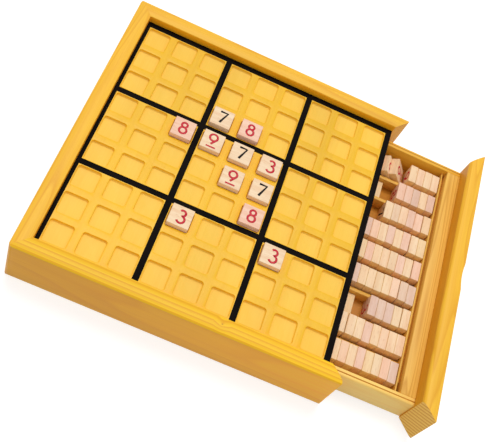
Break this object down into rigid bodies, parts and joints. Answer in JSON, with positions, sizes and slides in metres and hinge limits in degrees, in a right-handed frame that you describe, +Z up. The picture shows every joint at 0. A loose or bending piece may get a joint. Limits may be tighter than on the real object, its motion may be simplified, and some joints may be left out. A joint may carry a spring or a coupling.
{
  "type": "sudoku board",
  "caption": "Square wooden number-puzzle board with a recessed panel of square cells in a mitred moulded frame and a side drawer that stores the loose number tiles.",
  "frame": {"origin": "middle of the case's underside, on the table", "axes": "+X towards the drawer's side, +Y towards the back rail, +Z up from the table"},
  "size_m": [0.2882, 0.224, 0.0435],
  "materials": {
    "rail": "clear satin lacquer on pine",
    "panel": "golden stain and satin lacquer, black painted lines",
    "base": "plain sanded board",
    "front": "clear satin lacquer on pine",
    "drawer_box": "clear satin lacquer on pine",
    "divider": "sanded pine",
    "stored_tile": "sanded plain hardwood",
    "board_tile": "sanded plain hardwood with printed numbers"
  },
  "bodies": {
    "case": {"left_rail": "rail", "back_rail": "rail", "front_rail": "rail", "play_panel": "panel", "base_board": "base"},
    "drawer": {"drawer_front": "front", "drawer_inner_front": "drawer_box", "drawer_side_front": "drawer_box", "drawer_side_back": "drawer_box", "drawer_back": "drawer_box", "drawer_floor": "drawer_box", "tray_strip_left": "divider", "tray_strip_right": "divider", "divider_1": "divider", "divider_2": "divider", "divider_3": "divider", "divider_4": "divider", "divider_5": "divider", "divider_6": "divider", "divider_7": "divider", "divider_8": "divider", "tile_row_1": "stored_tile", "tile_row_2": "stored_tile", "tile_row_3": "stored_tile", "tile_row_4": "stored_tile", "tile_row_5": "stored_tile", "tile_row_6": "stored_tile", "tile_row_7": "stored_tile", "tile_row_8": "stored_tile", "tile_row_9": "stored_tile"},
    "loose_tile_r3c4": {"tile_r3c4": "board_tile"},
    "loose_tile_r3c5": {"tile_r3c5": "board_tile"},
    "loose_tile_r4c3": {"tile_r4c3": "board_tile"},
    "loose_tile_r4c4": {"tile_r4c4": "board_tile"},
    "loose_tile_r4c5": {"tile_r4c5": "board_tile"},
    "loose_tile_r4c6": {"tile_r4c6": "board_tile"},
    "loose_tile_r5c5": {"tile_r5c5": "board_tile"},
    "loose_tile_r5c6": {"tile_r5c6": "board_tile"},
    "loose_tile_r6c6": {"tile_r6c6": "board_tile"},
    "loose_tile_r7c4": {"tile_r7c4": "board_tile"},
    "loose_tile_r7c7": {"tile_r7c7": "board_tile"}
  },
  "joints": [
    {"name": "drawer_slide", "type": "slide", "parent": "case", "child": "drawer", "axis": [1, 0, 0], "range_m": [-0.0642, 0.022]},
    {"name": "lift_tile_r3c4", "type": "slide", "parent": "case", "child": "loose_tile_r3c4", "axis": [0, 0, 1], "range_m": [0, 0.025]},
    {"name": "lift_tile_r3c5", "type": "slide", "parent": "case", "child": "loose_tile_r3c5", "axis": [0, 0, 1], "range_m": [0, 0.025]},
    {"name": "lift_tile_r4c3", "type": "slide", "parent": "case", "child": "loose_tile_r4c3", "axis": [0, 0, 1], "range_m": [0, 0.025]},
    {"name": "lift_tile_r4c4", "type": "slide", "parent": "case", "child": "loose_tile_r4c4", "axis": [0, 0, 1], "range_m": [0, 0.025]},
    {"name": "lift_tile_r4c5", "type": "slide", "parent": "case", "child": "loose_tile_r4c5", "axis": [0, 0, 1], "range_m": [0, 0.025]},
    {"name": "lift_tile_r4c6", "type": "slide", "parent": "case", "child": "loose_tile_r4c6", "axis": [0, 0, 1], "range_m": [0, 0.025]},
    {"name": "lift_tile_r5c5", "type": "slide", "parent": "case", "child": "loose_tile_r5c5", "axis": [0, 0, 1], "range_m": [0, 0.025]},
    {"name": "lift_tile_r5c6", "type": "slide", "parent": "case", "child": "loose_tile_r5c6", "axis": [0, 0, 1], "range_m": [0, 0.025]},
    {"name": "lift_tile_r6c6", "type": "slide", "parent": "case", "child": "loose_tile_r6c6", "axis": [0, 0, 1], "range_m": [0, 0.025]},
    {"name": "lift_tile_r7c4", "type": "slide", "parent": "case", "child": "loose_tile_r7c4", "axis": [0, 0, 1], "range_m": [0, 0.025]},
    {"name": "lift_tile_r7c7", "type": "slide", "parent": "case", "child": "loose_tile_r7c7", "axis": [0, 0, 1], "range_m": [0, 0.025]}
  ]
}
